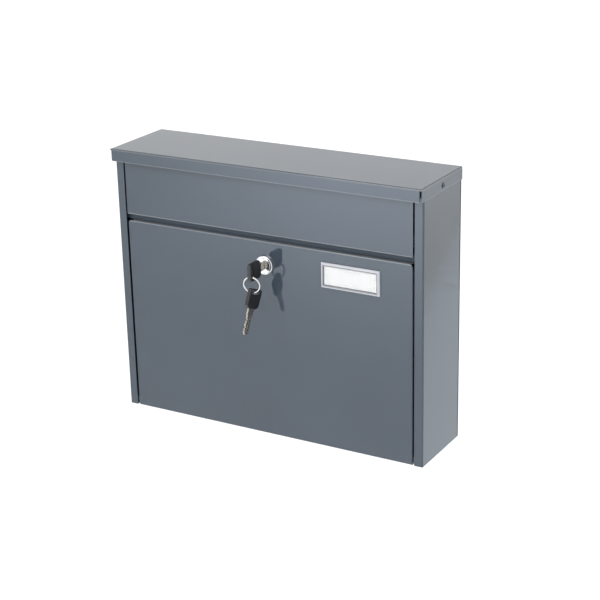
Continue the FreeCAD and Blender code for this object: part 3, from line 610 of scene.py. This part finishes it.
def floor_bowl(height):
    """A round floor whose rim curls up: out to the level radius it lies flat, and beyond that it rises with
    the square of the distance past it."""
    level, curl, first, last, rings, spokes = 3.0, 0.25, 0.5, 7.0, 40, 96
    radius = np.concatenate([[0.0], np.linspace(first, last, rings)])
    angle = np.linspace(0, 2 * np.pi, spokes, endpoint=False)
    r, a = np.meshgrid(radius, angle, indexing="ij")
    z = height + curl * np.maximum(r - level, 0.0) ** 2
    return grid_mesh("floor", np.stack([r * np.cos(a), r * np.sin(a), z], 2), close=True)


def set_world(scene, strength):
    """White surroundings of one brightness."""
    world = bpy.data.worlds.new("studio")
    world.use_nodes = True
    background = world.node_tree.nodes["Background"]
    background.inputs["Color"].default_value = (1.0, 1.0, 1.0, 1.0)
    background.inputs["Strength"].default_value = strength
    scene.world = world


def round_glow(s, t):
    """A round glow: the bell curve exp(-4.2 r squared) less the little it has left at the edge, with r the
    distance from the middle, and never below 0."""
    return np.clip(np.exp(-4.2 * (s * s + t * t)) - 0.015, 0.0, 1.0)


def panel_glow(s, t):
    """An even glow with soft edges: each way it is 1 inside and falls off smoothly over the last tenth."""
    edge = np.clip((1.0 - np.maximum(np.abs(s), np.abs(t))) / 0.1, 0.0, 1.0)
    return edge * edge * (3 - 2 * edge)


class SoftLight(NamedTuple):
    """A flat light: its middle, its two half sides in metres, how its glow falls off, the stage setting that
    gives its brightness, its share of that, and its tint."""
    name: str
    centre: tuple
    rise: np.ndarray
    run: np.ndarray
    glow: Callable
    level: str
    share: float
    tint: tuple


def soft_light(light, brightness):
    """A flat light whose points are the centre plus s and t, each from -1 to 1, times its two half sides.
    It shines as brightly as the glow says at (s, t), and is clear where the glow is 0."""
    steps = np.linspace(-1, 1, 49)
    s, t = np.meshgrid(steps, steps, indexing="ij")
    points = light.centre + s[..., None] * light.rise + t[..., None] * light.run
    mesh = grid_mesh(light.name, points)
    mask = mesh.attributes.new("glow", "FLOAT", "POINT")
    mask.data.foreach_set("value", light.glow(s, t).ravel().astype(np.float32))
    finish = Finish(light.name)
    shine = finish.node("ShaderNodeEmission", None, {"Color": light.tint, "Strength": brightness})
    clear = finish.node("ShaderNodeBsdfTransparent")
    share = finish.node("ShaderNodeAttribute", {"attribute_name": "glow"}, output="Fac")
    mixed = finish.node("ShaderNodeMixShader", None, {0: share, 1: clear, 2: shine})
    output = finish.tree.nodes["Material Output"]
    finish.tree.links.new(mixed.socket, output.inputs["Surface"])
    new_piece(light.name, mesh, finish.material).visible_camera = False


SOFT_LIGHTS = (
    SoftLight("front_softbox", (-0.58, -1.5, -0.20), np.array([0.0, 0.0, 0.70]), np.array([1.05, 0.0, 0.0]),
              round_glow, "front_glow", 1.0, (0.92, 0.99, 1.08, 1.0)),
    SoftLight("top_softbox", (-0.25, -1.55, 1.35), np.array([0.0, 0.28, 0.32]), np.array([0.75, 0.0, 0.0]),
              panel_glow, "top_glow", 1.0, (1.0, 1.0, 1.0, 1.0)),
    SoftLight("side_softbox", (0.52, 1.2, -0.62), np.array([0.14, 0.0, -0.34]), np.array([0.33, 0.0, 0.0]),
              panel_glow, "side_glow", 1.0, (0.94, 1.0, 1.05, 1.0)),
    SoftLight("side_upper", (0.92, 1.2, -0.12), np.array([0.0, 0.0, 0.34]), np.array([0.34, 0.0, 0.0]),
              round_glow, "side_glow", 1.9, (0.93, 1.0, 1.07, 1.0)),
)


def set_camera(scene, stage):
    """The camera's axes from its turn, tilt and roll: it looks along the direction they give."""
    turn, tilt, roll = stage.camera_turn, stage.camera_tilt, stage.camera_roll
    look = Vector((math.sin(turn) * math.cos(tilt), math.cos(turn) * math.cos(tilt), math.sin(tilt)))
    right = look.cross(Vector((0, 0, 1))).normalized()
    up = right.cross(look)
    right, up = right * math.cos(roll) + up * math.sin(roll), up * math.cos(roll) - right * math.sin(roll)
    lens = bpy.data.cameras.new("camera")
    lens.sensor_width = FULL_FRAME
    lens.lens = stage.camera_lens
    camera = bpy.data.objects.new("camera", lens)
    axes = Matrix((right, up, -look)).transposed()
    camera.matrix_world = Matrix.Translation(stage.camera_place) @ axes.to_4x4()
    scene.collection.objects.link(camera)
    scene.camera = camera


class MAILBOX_PT_panel(bpy.types.Panel):
    """The mailbox's sizes, colours and steps in the sidebar"""
    bl_idname = "MAILBOX_PT_panel"
    bl_label = "Wall Mailbox"
    bl_space_type = "VIEW_3D"
    bl_region_type = "UI"
    bl_category = "Mailbox"

    def draw(self, context):
        for group in GROUPS:
            box = self.layout.box()
            settings = getattr(context.scene, group)
            for name in settings.bl_rna.properties.keys():
                if name not in ("rna_type", "name"):
                    box.prop(settings, name)
        for operator in OPERATORS:
            self.layout.operator(operator.bl_idname)


GROUPS = {
    "mailbox_paint": MailboxPaint,
    "mailbox_trim": MailboxTrim,
    "mailbox_ring": MailboxRing,
    "mailbox_springs": MailboxSprings,
    "mailbox_stage": MailboxStage,
}
OPERATORS = (
    MAILBOX_OT_paint,
    MAILBOX_OT_lock,
    MAILBOX_OT_keys,
    MAILBOX_OT_name_holder,
    MAILBOX_OT_hardware,
    MAILBOX_OT_key_ring,
    MAILBOX_OT_springs,
    MAILBOX_OT_stage,
)


def register():
    for cls in (*GROUPS.values(), *OPERATORS, MAILBOX_PT_panel):
        bpy.utils.register_class(cls)
    for name, group in GROUPS.items():
        setattr(bpy.types.Scene, name, PointerProperty(type=group))


def unregister():
    for name in GROUPS:
        delattr(bpy.types.Scene, name)
    for cls in reversed((*GROUPS.values(), *OPERATORS, MAILBOX_PT_panel)):
        bpy.utils.unregister_class(cls)


def main():
    register()
    for operator in OPERATORS:
        category, name = operator.bl_idname.split(".")
        getattr(getattr(bpy.ops, category), name)()


if __name__ == "__main__":
    main()
